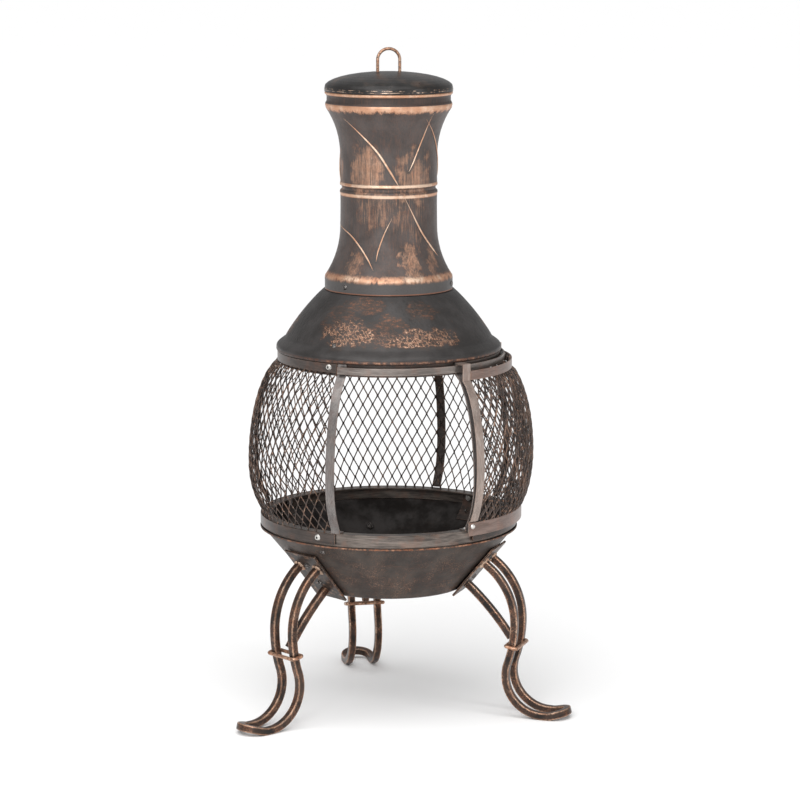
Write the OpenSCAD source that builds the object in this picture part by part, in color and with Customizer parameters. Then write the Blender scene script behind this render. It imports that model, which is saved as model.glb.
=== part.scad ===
// Garden chiminea: a lift-off rain lid, a pressed steel chimney, a smoke hood, a round mesh
// fire screen with a sliding curved door, a conical fire bowl and three bent-bar legs.
// Frame: origin on the ground in the middle of the footprint, +Z up, the fire opening faces -Y.
// The modules are drawn around the chimney's upright axis, which stands at axis_at.
// Angles are counted from the front (-Y) and grow towards +X. Lengths are millimetres.

/* [Height] */
// Height of the top of the lid's loop handle above the ground
total_h = 890.4; // [885:0.1:900]
// Height of the underside of the fire bowl
bowl_z = 167.5; // [160:0.5:170]

/* [Sheet metal] */
// Thickness of the pressed steel shells
sheet_t = 1.5; // [1.2:0.1:1.6]
// Thickness of the fire bowl
bowl_t = 1.8; // [1.5:0.1:1.8]
// Thickness of the mesh panels
mesh_t = 1.4; // [1.2:0.1:1.4]
// Width of the flat straps that edge the mesh panels
strap_w = 12.5; // [10:0.5:13]

/* [Chimney] */
// Outer radius of the chimney's neck
neck_r = 64.5; // [62:0.5:66]
// Outer radius of the skirt at the foot of the chimney
skirt_r = 85.3; // [84:0.1:86]

/* [Fire screen] */
// Outer radius of the fixed mesh at its belly
belly_r = 188.6; // [187:0.1:189]
// Outer radius of the door mesh at its belly
door_r = 194.6; // [194:0.1:196]
// Angle from the front to each edge post of the fire opening
opening_half_a = 31; // [30:1:32]
// Angle between the door's two edge posts
door_span_a = 76; // [70:1:76]

/* [Legs] */
// Width of the square leg bar
bar_w = 10; // [8:1:10]
// Distance between the two bars of a leg, centre to centre
bar_gap = 37; // [32:1:38]
// Turn of the leg set around the vertical axis
leg_turn = 4; // [0:1:6]

/* [Hidden] */
$fn = 96;

charcoal = "#35302e";
copper = "#a9714c";
steel_brown = "#5a4c46";
bare_steel = "#b9b4ac";

// Where the chimney's axis meets the ground: in front of the middle, as one leg points backwards
axis_at = [-8.2, -42.4, 0];
// Gap left between two pieces that touch but are not one piece
touch = 0.05;
// Longer than the whole object, for cutting bodies
beyond = 1000;

// Lid
lid_r = 85.3;
lid_rim_z = 833.1;
lid_shoulder_z = 838;
lid_dome_h = 20.3;
handle_wire_r = 2.1;
handle_arch_r = 14.7;
handle_hole_r = 2.2;
handle_end_z = 850;
lid_nut_r = 4.05;
lid_nut_z = 852.6;
lid_nut_h = 3;
tab_r = 79.5;
tab_foot_z = 822;
tab_a = [60, 180, 300];

// Chimney
mouth_z = 833.4;
mouth_r = 84.9;
mouth_bead_r = 2.4;
flare_top_z = 811.5;
neck_top_z = 749;
upper_flare_r = 112;
// Points of the necking under the mouth bead, [radius, depth below the mouth]
necking = [[84, 3.4], [82.2, 6.9], [82.2, 12.9], [83.9, 15.9], [84.3, 18.4], [83.6, 20.9]];
groove_z = 705.7;
groove_depth = 2.2;
groove_lip = 0.6;
neck_foot_z = 655;
lower_flare_r = 120;
skirt_top_z = 588;
skirt_foot_z = 570.5;
skirt_screw_z = 579;
skirt_screw_a = [-49.5, 70.5, 190.5];
skirt_bend = 2;

// Smoke hood
collar_r = skirt_r - sheet_t - touch;
collar_top_z = 584;
hood_top = [87.5, 569.4];
hood_crease = [138.5, 505.8];
hood_wall_r = 305;
flange_edge = [148.3, 498];
hood_lip_r = 150.4;
hood_bead_r = 2.7;
hood_bead_at = [147.8, 490.9];
hood_screw_z = 510;
hood_bracket_z = [517, 497.2, 474];

// Top of the fire screen
top_ring_r = 146;
top_ring_t = 2;
top_ring_z = [472, 488];
mesh_top_r = top_ring_r + touch + mesh_t;
band_t = 1.6;
top_band_r = mesh_top_r + touch + band_t;
top_band_z = [476, 488];
band_gap_a = 3;
top_bolt_z = 483;
rail_r = 155.2;
rail_t = 2;
rail_z = [475.5, 485];
rail_a = [-opening_half_a - 1.6, 112];
standoff_a = [-opening_half_a, opening_half_a, 74, 110];
standoff_half_a = 1.6;
standoff_z = [476.1, 479.7];

// Barrel outline of the fixed mesh: two half ellipses that meet at the belly
belly_z = 336;
barrel_upper = [55, 145];
barrel_lower = [52, 85];
mesh_top_z = 487;
mesh_foot_z = 256;
mesh_foot_r = 171.4;
barrel_foot_z = 273.5;
barrel_top_z = 472;
barrel_steps = 14;
// Height of the short bend between the barrel and the upright edge of a mesh panel
edge_bend = 1;
strap_t = 1.6;
post_t = 1.8;
post_proud = 0.2;
// Gap between a post's side and the mesh panel next to it
post_gap = 0.4;
side_strap_a = 114;
rear_strap_a = 150;
// Half the gap between the two mesh panels, behind the rear strap
mesh_seam_a = 0.2;

// Bottom of the fire screen
bottom_ring_r = mesh_foot_r - mesh_t - touch;
bottom_ring_t = 2;
bottom_ring_z = [253.5, 267.6];
ledge_r = 156;
bottom_band_r = mesh_foot_r + touch + band_t;
bottom_bolt_z = 261;
band_start_a = 1.5;
foot_t = 1.6;
foot_inner_r = 158;
foot_rivet_r = 163.5;

// Fire bowl
bowl_base_r = 98;
bowl_knuckle = [105, 170.5];
bowl_rim = [169.3, 248.3];
bowl_rim_r = 173.4;
bowl_rim_t = 2.2;
grate_wire_r = 3;
grate_z = 201;
grate_bar_gap = 25;
grate_bar_r = 2.5;
bracket_t = 2;
bracket_half_a = 4.5;
bowl_bracket_z = [252.5, 245, 229];
bowl_screw_z = 239;

// Door
door_belly_z = 352;
door_upper = [49.2, 125];
door_lower = [33.6, 87];
door_top_r = 163.6;
door_top_z = 477.5;
door_shoulder_z = 459;
door_foot_r = 177.6;
door_foot_z = 263;
door_hem_z = 281;
door_steps = 12;
door_bend = 1.5;
door_band_t = 1.5;
door_band_top = [465.5, 478];
door_band_foot = [262, 279.5];
door_post_t = 1.6;
door_post_proud = 0.6;
hook_z = 485.8;
hook_t = 1.8;
hook_lip_r = 150.3;
hook_lip_z = 480.6;
door_rivet_z = 274.5;
door_lead_a = opening_half_a;
door_trail_a = opening_half_a + door_span_a;

// Bolts
bolt_r = 2.5;
bolt_hole_r = 2.6;
bolt_head_r = 4.2;
socket_r = 1.8;
socket_depth = 1.2;
bolt_head_h = 2;
top_bolt_l = 13;
leg_bolt_l = 12;
screw_l = 8;
drill_l = 10;
nut_r = 4.6;
nut_h = 3.2;
screw_r = 2;
screw_hole_r = 2.1;
screw_head_r = 3.6;
screw_head_h = 1.8;
head_bevel = 1.5;
nut_gap = 1;
rivet_head_h = 1.6;
rivet_head_r = 3.5;
top_set_a = [-38.6, 130, 230];
bottom_set_a = [-39.5, 130, 230];

// Legs: the bar's centre line in the plane of the leg, as arcs [radius, height]
leg_a = [for (i = [0:2]) 60 + 120 * i + leg_turn];
knee_top_c = [87, 128];
knee_top_r = 97;
knee_low_r = 164;
knee_low_c = [knee_top_c[0] + knee_top_r - knee_low_r, knee_top_c[1]];
ankle_r = 52;
ankle_z = ankle_r + bar_w / 2;
ankle_c = [knee_low_c[0] + sqrt(pow(knee_low_r + ankle_r, 2) - pow(knee_low_c[1] - ankle_z, 2)), ankle_z];
ankle_a = atan2(knee_low_c[1] - ankle_c[1], ankle_c[0] - knee_low_c[0]);
knee_top_a = 64;
toe_flat = 5;
toe_curl_a = 14;
toe_curl_r = 24;
// The bend at the toe is a hair thicker than the bars and reaches over their ends
toe_swell = 0.04;
toe_lap_a = 1;
plate_t = 3;
plate_w = 62;
plate_l = 86;
plate_low = -8;
leg_bolt_at = [22, 56];
brace_foot = [174, 105];
brace_sagitta = 3;
brace_over_a = 3;
collar_wire_r = 2.5;
collar_round_r = 2.6;
collar_z = 97;

wall_u = (bowl_rim - bowl_knuckle) / norm(bowl_rim - bowl_knuckle);
wall_n = [wall_u[1], -wall_u[0]];
wall_tilt = atan2(-wall_n[1], wall_n[0]);

// ---- outlines -------------------------------------------------------------

function reversed(pts) = [for (i = [len(pts) - 1:-1:0]) pts[i]];

// Unit normal on the right of the way from p to q
function right_of(p, q) = [q[1] - p[1], p[0] - q[0]] / norm(q - p);

// The polyline moved by t to its right, with mitred corners
function beside(pts, t) = [
    for (i = [0:len(pts) - 1])
        let (last = len(pts) - 1,
             a = right_of(pts[max(i - 1, 0)], pts[max(i, 1)]),
             b = right_of(pts[min(i, last - 1)], pts[min(i + 1, last)]))
            pts[i] + t * (a + b) / (1 + a * b)];

function arc(c, r, a0, a1, n) = [
    for (i = [0:n]) let (a = a0 + (a1 - a0) * i / n) c + r * [cos(a), sin(a)]];

// Radius of a barrel outline at height z
function barrel(z, r, z0, upper, lower) =
    let (e = z > z0 ? upper : lower, q = (z - z0) / e[1]) r - e[0] + e[0] * sqrt(1 - q * q);

function fixed_r(z) = barrel(z, belly_r, belly_z, barrel_upper, barrel_lower);

function sliding_r(z) = barrel(z, door_r, door_belly_z, door_upper, door_lower);

// Outer outline of the fixed mesh between two heights, top first
function fixed_line(z0, z1, steps) = [
    for (i = [0:steps]) let (z = z1 + (z0 - z1) * i / steps) [fixed_r(z), z]];

function sliding_line(z0, z1, steps) = [
    for (i = [0:steps]) let (z = z1 + (z0 - z1) * i / steps) [sliding_r(z), z]];

barrel_line = fixed_line(barrel_foot_z, barrel_top_z, barrel_steps);
mesh_line = concat([[mesh_top_r, mesh_top_z], [mesh_top_r, top_band_z[0] - edge_bend]], barrel_line,
    [[mesh_foot_r, barrel_foot_z - edge_bend], [mesh_foot_r, mesh_foot_z]]);

door_barrel_line = sliding_line(door_hem_z + edge_bend, door_shoulder_z, door_steps);
door_foot_line = [[door_foot_r, door_hem_z - door_bend], [door_foot_r, door_foot_z]];
door_line = concat([[door_top_r, door_top_z], [door_top_r, door_band_top[0]]],
    door_barrel_line, door_foot_line);

// Flare whose radius starts at the neck and grows away from it
function flare_r(h, r) = neck_r + r - sqrt(r * r - h * h);

// Points of the rolled groove, [radius beyond the neck, height above its middle]
groove = [[0, 7], [groove_lip, 5], [0, 3.2], [-groove_depth, 1.6],
    [-groove_depth, -1.6], [0, -3.6], [groove_lip, -5.8], [0, -8.2]];

chimney_line = concat([for (p = necking) [p[0], mouth_z - p[1]]],
    [for (i = [0:8]) let (z = flare_top_z + (neck_top_z - flare_top_z) * i / 8)
        [flare_r(z - neck_top_z, upper_flare_r), z]],
    [for (p = groove) [neck_r, groove_z] + p],
    [for (i = [0:8]) let (z = neck_foot_z + (skirt_top_z - neck_foot_z) * i / 8)
        [flare_r(neck_foot_z - z, lower_flare_r), z]],
    [[skirt_r, skirt_top_z - skirt_bend], [skirt_r, skirt_foot_z]]);

lid_line = concat(
    [for (a = [90:-10:10]) [lid_r * cos(a), lid_shoulder_z + lid_dome_h * sin(a)]],
    [[lid_r - 0.4, lid_shoulder_z], [lid_r, lid_rim_z + 2.5], [lid_r, lid_rim_z]]);

hood_chord = hood_crease - hood_top;
hood_c = (hood_top + hood_crease) / 2
    + [hood_chord[1], -hood_chord[0]] / norm(hood_chord)
        * sqrt(pow(hood_wall_r, 2) - pow(norm(hood_chord) / 2, 2));
function hood_wall_a(p) = atan2(p[1] - hood_c[1], p[0] - hood_c[0]);

// Point on the hood's wall at height z, moved inwards by t
function hood_wall(z, t) =
    let (a = asin((z - hood_c[1]) / hood_wall_r)) hood_c + (hood_wall_r - t) * [cos(a), sin(a)];

hood_line = concat([[collar_r, collar_top_z], [collar_r, hood_top[1] + 0.4]],
    arc(hood_c, hood_wall_r, hood_wall_a(hood_top), hood_wall_a(hood_crease), 8),
    [flange_edge, [hood_lip_r - 0.4, flange_edge[1] - 2.4], [hood_lip_r, flange_edge[1] - 4.4],
     [hood_lip_r, hood_bead_at[1]]]);

bowl_line = [[0, bowl_z], [bowl_base_r, bowl_z], [bowl_base_r + 4.5, bowl_z + 0.9], bowl_knuckle, bowl_rim];
flange_land = 2;

// Point on the outside of the bowl's wall at height z, moved inwards by t
function bowl_wall(z, t) =
    let (s = (z - bowl_knuckle[1]) / wall_u[1]) bowl_knuckle + s * wall_u - t * wall_n;

// ---- placing --------------------------------------------------------------

// Turns local +X to point outwards at angle a from the front
module at(a) {
    rotate([0, 0, a - 90]) children();
}

// Revolves a [radius, height] outline from angle a0 to a1
module turned(a0, a1) {
    at(a0) rotate_extrude(angle = a1 - a0) children();
}

// Inner side of a sheet of thickness t inside an outline that runs downwards
function inside(line, t) = [for (p = beside(line, t)) [max(p[0], 0), p[1]]];

module sheet(line, t) {
    polygon(concat(line, reversed(inside(line, t))));
}

module box_ring(r_out, t, z) {
    translate([r_out - t, z[0]]) square([t, z[1] - z[0]]);
}

// Wide enough for any strip at its smallest radius
strip_half_a = 12;

// Keeps only a strip of constant width w around angle a
module strip(a, w) {
    intersection() {
        at(a) rotate_extrude(start = -strip_half_a, angle = 2 * strip_half_a) children();
        at(a) translate([0, -w / 2, 0]) cube([beyond, w, beyond]);
    }
}

// Stands a child made along +Z on the outside of a wall, axis tilted down by tilt
module outwards(a, p, tilt = 0) {
    at(a) translate([p[0], 0, p[1]]) rotate([0, 90 + tilt, 0]) children();
}

// Button-head bolt: the head's seat is at the origin, the shank runs to -Z
module bolt(shank) {
    difference() {
        button(bolt_head_h, bolt_head_r);
        translate([0, 0, bolt_head_h - socket_depth]) cylinder(h = bolt_head_h, r = socket_r, $fn = 6);
    }
    translate([0, 0, -shank]) {
        cylinder(h = shank, r = bolt_r);
        translate([0, 0, nut_gap]) hex_nut(nut_h, nut_r, bolt_r);
    }
}

module screw() {
    button(screw_head_h, screw_head_r);
    translate([0, 0, -screw_l]) cylinder(h = screw_l, r = screw_r);
}

// Low round head with a bevelled edge
module button(h, r) {
    cylinder(h = h, r1 = r, r2 = r - head_bevel);
}

// Nut that is a piece of its own around a thread of radius r
module hex_nut(h, corner_r, r) {
    difference() {
        cylinder(h = h, r = corner_r, $fn = 6);
        translate([0, 0, -1]) cylinder(h = h + 2, r = r + touch);
    }
}

// Hole through a wall at the place of a bolt or screw
module drill(r) {
    translate([0, 0, -drill_l]) cylinder(h = 2 * drill_l, r = r);
}

// ---- lid ------------------------------------------------------------------

module rain_lid() {
    color(charcoal) difference() {
        rotate_extrude() sheet(lid_line, sheet_t);
        for (side = [-1, 1])
            translate([side * handle_arch_r, 0, lid_shoulder_z])
                cylinder(h = 2 * lid_dome_h, r = handle_hole_r);
    }
}

module lid_handle() {
    arch_z = total_h - handle_wire_r - handle_arch_r;
    color(copper) {
        for (side = [-1, 1])
            translate([side * handle_arch_r, 0, handle_end_z])
                cylinder(h = arch_z - handle_end_z, r = handle_wire_r);
        translate([0, 0, arch_z]) rotate([90, 0, 0])
            rotate_extrude(angle = 180) translate([handle_arch_r, 0]) circle(r = handle_wire_r);
    }
}

module lid_handle_nuts() {
    color(bare_steel) for (side = [-1, 1])
        translate([side * handle_arch_r, 0, lid_nut_z]) hex_nut(lid_nut_h, lid_nut_r, handle_wire_r);
}

module lid_tabs() {
    under = inside(lid_line, sheet_t + touch);
    edge_r = under[len(under) - 1][0];
    color(charcoal) for (a = tab_a)
        intersection() {
            strip(a, strap_w) box_ring(tab_r, sheet_t, [tab_foot_z, lid_shoulder_z + lid_dome_h]);
            rotate_extrude() polygon(concat(under, [[edge_r, tab_foot_z - 1], [0, tab_foot_z - 1]]));
        }
}

// ---- chimney and hood -----------------------------------------------------

module chimney() {
    color(charcoal) difference() {
        union() {
            rotate_extrude() sheet(chimney_line, sheet_t);
            rotate_extrude()
                translate([mouth_r - mouth_bead_r, mouth_z - mouth_bead_r]) circle(r = mouth_bead_r);
        }
        for (a = skirt_screw_a) outwards(a, [skirt_r, skirt_screw_z]) drill(screw_hole_r);
    }
}

module chimney_screws() {
    color(bare_steel) for (a = skirt_screw_a) outwards(a, [skirt_r + touch, skirt_screw_z]) screw();
}

module smoke_hood() {
    color(charcoal) difference() {
        union() {
            rotate_extrude() sheet(hood_line, sheet_t);
            rotate_extrude() translate(hood_bead_at) circle(r = hood_bead_r);
        }
        for (a = skirt_screw_a) outwards(a, [collar_r, skirt_screw_z]) drill(screw_hole_r);
        hood_screw_places() drill(screw_hole_r);
    }
}

hood_tilt = -hood_wall_a(hood_wall(hood_screw_z, 0));

module hood_screw_places() {
    for (a = top_set_a) outwards(a, hood_wall(hood_screw_z, 0), hood_tilt) children();
}

module hood_screws() {
    color(bare_steel) hood_screw_places() translate([0, 0, touch]) screw();
}

module hood_brackets() {
    gap = sheet_t + touch;
    leg_r = top_ring_r - top_ring_t - touch;
    line = [hood_wall(hood_bracket_z[0], gap), hood_wall(hood_crease[1], gap),
        [leg_r, hood_bracket_z[1]], [leg_r, hood_bracket_z[2]]];
    color(steel_brown) difference() {
        for (a = top_set_a)
            turned(a - bracket_half_a, a + bracket_half_a) sheet(line, bracket_t);
        hood_screw_places() drill(screw_hole_r);
        top_bolt_places() drill(bolt_hole_r);
    }
}

// ---- top of the screen ----------------------------------------------------

module top_bolt_places() {
    for (a = top_set_a) outwards(a, [top_band_r, top_bolt_z]) children();
}

module screen_top_ring() {
    color(steel_brown) difference() {
        rotate_extrude() box_ring(top_ring_r, top_ring_t, top_ring_z);
        top_bolt_places() drill(bolt_hole_r);
    }
}

module screen_top_band() {
    color(steel_brown) difference() {
        turned(opening_half_a + band_gap_a, 360 - opening_half_a - band_gap_a)
            box_ring(top_band_r, band_t, top_band_z);
        top_bolt_places() drill(bolt_hole_r);
    }
}

module screen_top_bolts() {
    color(bare_steel) top_bolt_places() translate([0, 0, touch]) bolt(top_bolt_l);
}

module door_rail() {
    color(steel_brown) turned(rail_a[0], rail_a[1]) box_ring(rail_r, rail_t, rail_z);
}

module rail_standoffs() {
    outer_r = rail_r - rail_t;
    color(charcoal) for (a = standoff_a)
        turned(a - standoff_half_a, a + standoff_half_a) box_ring(outer_r, outer_r - top_band_r, standoff_z);
}

// ---- fixed mesh, posts and straps -----------------------------------------

// A post lies in the opening's edge: the mesh panels end beside it
module opening_post(a) {
    foot_r = mesh_foot_r + post_proud;
    foot_z = bottom_ring_z[1] + touch;
    line = concat([[top_band_r, top_band_z[1]], [top_band_r, top_band_z[0] - edge_bend]],
        beside(barrel_line, -post_proud),
        [[foot_r, barrel_foot_z - edge_bend], [foot_r, foot_z]]);
    difference() {
        union() {
            strip(a, strap_w) sheet(line, post_t);
            strip(a, strap_w) box_ring(foot_r, foot_r - foot_inner_r, [foot_z, foot_z + foot_t]);
        }
        foot_rivet_hole(a);
    }
}

module foot_rivet_hole(a) {
    at(a) translate([foot_rivet_r, 0, bottom_ring_z[1]]) drill(screw_hole_r);
}

module opening_post_left() {
    color(steel_brown) opening_post(-opening_half_a);
}

module opening_post_right() {
    color(steel_brown) opening_post(opening_half_a);
}

module post_rivets() {
    top_z = bottom_ring_z[1] + 2 * touch + foot_t;
    low_z = bottom_ring_z[1] - bottom_ring_t - touch;
    color(bare_steel) for (a = [-opening_half_a, opening_half_a]) at(a) translate([foot_rivet_r, 0, 0]) {
        translate([0, 0, top_z]) button(rivet_head_h, rivet_head_r);
        translate([0, 0, low_z]) cylinder(h = top_z - low_z, r = screw_r);
        translate([0, 0, low_z]) mirror([0, 0, 1]) button(rivet_head_h, rivet_head_r);
    }
}

module side_strap(a) {
    line = concat(barrel_line,
        [[mesh_foot_r, barrel_foot_z - edge_bend], [mesh_foot_r, bottom_ring_z[1] + edge_bend]]);
    color(steel_brown) strip(a, strap_w) sheet(beside(line, -strap_t - touch), strap_t);
}

module side_strap_left() {
    side_strap(-side_strap_a);
}

module side_strap_right() {
    side_strap(side_strap_a);
}

module rear_strap() {
    side_strap(rear_strap_a);
}

// Angle that half a post takes up at the mesh's narrow top
post_edge_a = asin((strap_w / 2 + post_gap) / mesh_top_r);

module mesh_panel(a0, a1) {
    color(charcoal) difference() {
        turned(a0, a1) sheet(mesh_line, mesh_t);
        top_bolt_places() drill(bolt_hole_r);
        bottom_bolt_places() drill(bolt_hole_r);
    }
}

module mesh_left() {
    mesh_panel(rear_strap_a + mesh_seam_a, 360 - opening_half_a - post_edge_a);
}

module mesh_right() {
    mesh_panel(opening_half_a + post_edge_a, rear_strap_a - mesh_seam_a);
}

// ---- bottom of the screen -------------------------------------------------

module bottom_bolt_places() {
    for (a = bottom_set_a) outwards(a, [bottom_band_r, bottom_bolt_z]) children();
}

// Its wall stands on the rim of the fire bowl, a little lower than the band around it
module screen_bottom_ring() {
    foot_z = bowl_rim[1] + bowl_rim_t + touch;
    color(steel_brown) difference() {
        rotate_extrude() polygon([[bottom_ring_r, foot_z], [bottom_ring_r, bottom_ring_z[1]],
            [ledge_r, bottom_ring_z[1]], [ledge_r, bottom_ring_z[1] - bottom_ring_t],
            [bottom_ring_r - bottom_ring_t, bottom_ring_z[1] - bottom_ring_t],
            [bottom_ring_r - bottom_ring_t, foot_z]]);
        bottom_bolt_places() drill(bolt_hole_r);
        foot_rivet_hole(-opening_half_a);
        foot_rivet_hole(opening_half_a);
    }
}

module screen_bottom_band() {
    color(steel_brown) difference() {
        turned(opening_half_a + band_start_a, 360 - opening_half_a)
            box_ring(bottom_band_r, band_t, bottom_ring_z);
        bottom_bolt_places() drill(bolt_hole_r);
    }
}

module screen_bottom_bolts() {
    color(bare_steel) bottom_bolt_places() translate([0, 0, touch]) bolt(top_bolt_l);
}

module bowl_screw_places() {
    for (a = bottom_set_a) outwards(a, bowl_wall(bowl_screw_z, 0), wall_tilt) children();
}

module bowl_brackets() {
    gap = bowl_t + touch;
    leg_r = bottom_ring_r - bottom_ring_t - touch;
    line = [[leg_r, bottom_ring_z[1] - bottom_ring_t - touch], [leg_r, bowl_bracket_z[0]],
        bowl_wall(bowl_bracket_z[1], gap), bowl_wall(bowl_bracket_z[2], gap)];
    color(steel_brown) difference() {
        for (a = bottom_set_a)
            turned(a - bracket_half_a, a + bracket_half_a) sheet(line, bracket_t);
        bowl_screw_places() drill(screw_hole_r);
        bottom_bolt_places() drill(bolt_hole_r);
    }
}

module bowl_screws() {
    color(bare_steel) bowl_screw_places() translate([0, 0, touch]) screw();
}

// ---- fire bowl ------------------------------------------------------------

module fire_bowl() {
    flange_z = bowl_rim[1] + bowl_rim_t;
    flange = [[bowl_rim_r, bowl_rim[1]], [bowl_rim_r, flange_z], [bowl_rim[0] - flange_land, flange_z]];
    color(charcoal) difference() {
        rotate_extrude() polygon(concat(bowl_line, flange, reversed(beside(bowl_line, -bowl_t))));
        bowl_screw_places() drill(screw_hole_r);
        for (a = leg_a) leg_bolt_places(a) drill(bolt_hole_r);
    }
}

// Welded wire grate that drops into the cone of the bowl: a ring with bars lying on it
module fire_grate() {
    wall_r = bowl_knuckle[0] + (grate_z - bowl_knuckle[1]) * wall_u[0] / wall_u[1];
    grate_r = wall_r - (bowl_t + grate_wire_r + 2 * touch) / wall_n[0];
    color(charcoal) translate([0, 0, grate_z]) {
        rotate_extrude() translate([grate_r, 0]) circle(r = grate_wire_r);
        for (i = [-4:4]) {
            x = i * grate_bar_gap;
            half = sqrt(pow(grate_r, 2) - pow(x, 2)) + 1;
            translate([x, half, 1.6 * grate_wire_r]) rotate([90, 0, 0])
                cylinder(h = 2 * half, r = grate_bar_r);
        }
    }
}

// ---- door -----------------------------------------------------------------

door_edge_a = asin((strap_w / 2 + post_gap) / door_top_r);

module door_mesh() {
    color(charcoal) turned(door_lead_a + door_edge_a, door_trail_a - door_edge_a) sheet(door_line, mesh_t);
}

module door_top_band() {
    color(steel_brown) turned(door_lead_a + door_edge_a, door_trail_a - door_edge_a)
        box_ring(door_top_r + touch + door_band_t, door_band_t, door_band_top);
}

module door_bottom_band() {
    edge_a = asin(strap_w / 2 / door_foot_r);
    color(steel_brown) difference() {
        turned(door_lead_a - edge_a, door_trail_a + edge_a)
            box_ring(door_foot_r + touch + door_band_t, door_band_t, door_band_foot);
        door_rivet_places() drill(screw_hole_r);
    }
}

// A door post ends above in a hook that rides on the rail
module door_post(a) {
    top_r = door_top_r + touch + door_band_t;
    line = concat([[top_r, hook_z + hook_t], [top_r, door_band_top[0]]],
        beside(door_barrel_line, -door_post_proud), door_foot_line);
    hook = [[top_r, hook_z], [top_r, hook_z + hook_t], [hook_lip_r, hook_z + hook_t],
        [hook_lip_r, hook_lip_z], [hook_lip_r + hook_t, hook_lip_z], [hook_lip_r + hook_t, hook_z]];
    color(steel_brown) difference() {
        union() {
            strip(a, strap_w) sheet(line, door_post_t);
            strip(a, strap_w) polygon(hook);
        }
        door_rivet_places() drill(screw_hole_r);
    }
}

module door_leading_post() {
    door_post(door_lead_a);
}

module door_trailing_post() {
    door_post(door_trail_a);
}

module door_rivet_places() {
    for (a = [door_lead_a, door_trail_a])
        outwards(a, [door_foot_r + touch + door_band_t, door_rivet_z]) children();
}

module door_rivets() {
    color(bare_steel) door_rivet_places() translate([0, 0, touch]) {
        button(rivet_head_h, rivet_head_r);
        translate([0, 0, -door_band_t - door_post_t]) cylinder(h = door_band_t + door_post_t, r = screw_r);
    }
}

// ---- legs -----------------------------------------------------------------

module bar_section(w = bar_w) {
    square(w, center = true);
}

// Bar bent in the middle plane of a leg around c = [radius, height], from angle a0 to a1
module bent(c, r, a0, a1, across) {
    translate([c[0], across, c[1]]) rotate([90, 0, 0])
        rotate_extrude(start = a0, angle = a1 - a0) translate([r, 0]) bar_section();
}

// Point t along the bowl's wall from the knuckle, h away from it
function on_wall(t, h) = bowl_knuckle + t * wall_u + h * wall_n;

// Turns local +X along the bowl's wall, upwards, and local +Z away from it
module on_bowl(t, h) {
    p = on_wall(t, h);
    translate([p[0], 0, p[1]]) rotate([0, -atan2(wall_u[1], wall_u[0]), 0]) rotate([180, 0, 0]) children();
}

// Everything on the bowl's side of a leg plate's outer face
module bowl_side() {
    on_bowl(-plate_l, plate_t + 2 * touch)
        translate([0, -plate_w, -plate_l]) cube([3 * plate_l, 2 * plate_w, plate_l]);
}

// The flat plate touches the round wall along its middle line only
module leg_plate(a) {
    color(charcoal) difference() {
        at(a) on_bowl(plate_low, touch) translate([0, -plate_w / 2, 0]) cube([plate_l, plate_w, plate_t]);
        leg_bolt_places(a) drill(bolt_hole_r);
    }
}

module leg_bolt_places(a) {
    for (t = leg_bolt_at) outwards(a, on_wall(t, plate_t + 2 * touch), wall_tilt) children();
}

module leg_bolts(a) {
    color(bare_steel) leg_bolt_places(a) bolt(leg_bolt_l);
}

// Two bars and the bend that joins them at the toe
module leg_bar(a) {
    flat_end = ankle_c[0] + toe_flat;
    curl_c = [flat_end, bar_w / 2 + toe_curl_r];
    curl_end = curl_c + toe_curl_r * [sin(toe_curl_a), -cos(toe_curl_a)];
    color(charcoal) at(a) difference() {
        union() {
            for (side = [-1, 1]) {
                across = side * bar_gap / 2;
                bent(knee_top_c, knee_top_r, 0, knee_top_a, across);
                bent(knee_low_c, knee_low_r, -ankle_a, 0, across);
                bent(ankle_c, ankle_r, 180 - ankle_a, 270, across);
                translate([ankle_c[0], across, bar_w / 2]) rotate([90, 0, 90])
                    linear_extrude(toe_flat) bar_section();
                bent(curl_c, toe_curl_r, 270, 270 + toe_curl_a, across);
            }
            translate([curl_end[0], 0, curl_end[1]]) rotate([0, -toe_curl_a, 0])
                rotate_extrude(start = -90 - toe_lap_a, angle = 180 + 2 * toe_lap_a)
                    translate([bar_gap / 2, 0]) bar_section(bar_w + toe_swell);
        }
        bowl_side();
    }
}

module leg_brace(a) {
    top = on_wall(-1, plate_t + 2 * touch);
    chord = brace_foot - top;
    half = norm(chord) / 2;
    r = (half * half + brace_sagitta * brace_sagitta) / (2 * brace_sagitta);
    c = (top + brace_foot) / 2 + [chord[1], -chord[0]] / norm(chord) * (r - brace_sagitta);
    a0 = atan2(brace_foot[1] - c[1], brace_foot[0] - c[0]);
    a1 = atan2(top[1] - c[1], top[0] - c[0]);
    color(charcoal) at(a) difference() {
        bent(c, r, a0, a1 + brace_over_a, 0);
        bowl_side();
    }
}

// Wire frame with rounded corners, bent around both bars
module leg_collar(a) {
    slope_a = asin((knee_low_c[1] - collar_z) / knee_low_r);
    r_mid = knee_low_c[0] + knee_low_r * cos(slope_a);
    straight = bar_w / 2 - collar_round_r + collar_wire_r + touch;
    half_l = bar_gap / 2 + straight;
    color(copper) at(a) translate([r_mid, 0, collar_z]) rotate([0, slope_a, 0]) {
        for (side = [-1, 1]) {
            for (end = [-1, 1])
                translate([side * straight, end * half_l, 0])
                    rotate_extrude(start = side > 0 ? min(0, 90 * end) : (end > 0 ? 90 : 180), angle = 90)
                        translate([collar_round_r, 0]) circle(r = collar_wire_r);
            translate([side * (straight + collar_round_r), -half_l, 0]) rotate([-90, 0, 0])
                cylinder(h = 2 * half_l, r = collar_wire_r);
            translate([-straight, side * (half_l + collar_round_r), 0]) rotate([0, 90, 0])
                cylinder(h = 2 * straight, r = collar_wire_r);
        }
    }
}

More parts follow.
